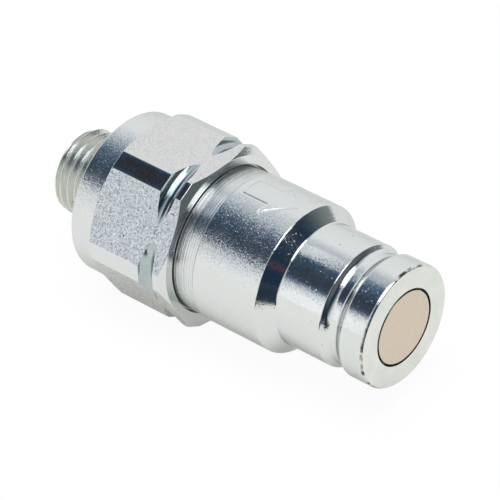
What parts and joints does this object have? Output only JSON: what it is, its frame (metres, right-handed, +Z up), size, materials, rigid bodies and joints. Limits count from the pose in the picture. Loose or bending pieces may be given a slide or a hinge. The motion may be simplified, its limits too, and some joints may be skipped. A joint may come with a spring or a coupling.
{
  "type": "hydraulic quick coupler plug",
  "caption": "Flat-face hydraulic quick coupler plug: hexagon adapter with a threaded stud, stepped body, nose with a locking groove and a spring-closed flush valve.",
  "frame": {"origin": "on the coupling axis, at the adapter's rear shoulder where the stud begins", "axes": "+X along the coupling axis from the port to the nose, +Z up, with a hexagon flat level underneath"},
  "size_m": [0.0641, 0.0296, 0.027],
  "materials": {
    "zinc_plated_steel": "bright zinc plate, clear passivate",
    "valve_steel": "fine turned",
    "spring_steel": "drawn wire",
    "nitrile_rubber": "moulded",
    "ptfe": "cut ring"
  },
  "bodies": {
    "body": {"rear_adapter": "zinc_plated_steel", "plug_body": "zinc_plated_steel", "joint_o_ring": "nitrile_rubber", "joint_back_up_ring": "ptfe", "valve_spring": "spring_steel", "valve_guide": "valve_steel", "guide_retaining_ring": "spring_steel"},
    "valve": {"poppet": "valve_steel", "poppet_o_ring": "nitrile_rubber", "poppet_back_up_ring": "ptfe"}
  },
  "joints": [
    {"name": "poppet_slide", "type": "slide", "parent": "body", "child": "valve", "axis": [-1, 0, 0], "range_m": [0, 0.006], "stiffness_N_per_m": 7290, "springref_m": -0.0045, "deforming": ["valve_spring"]}
  ]
}
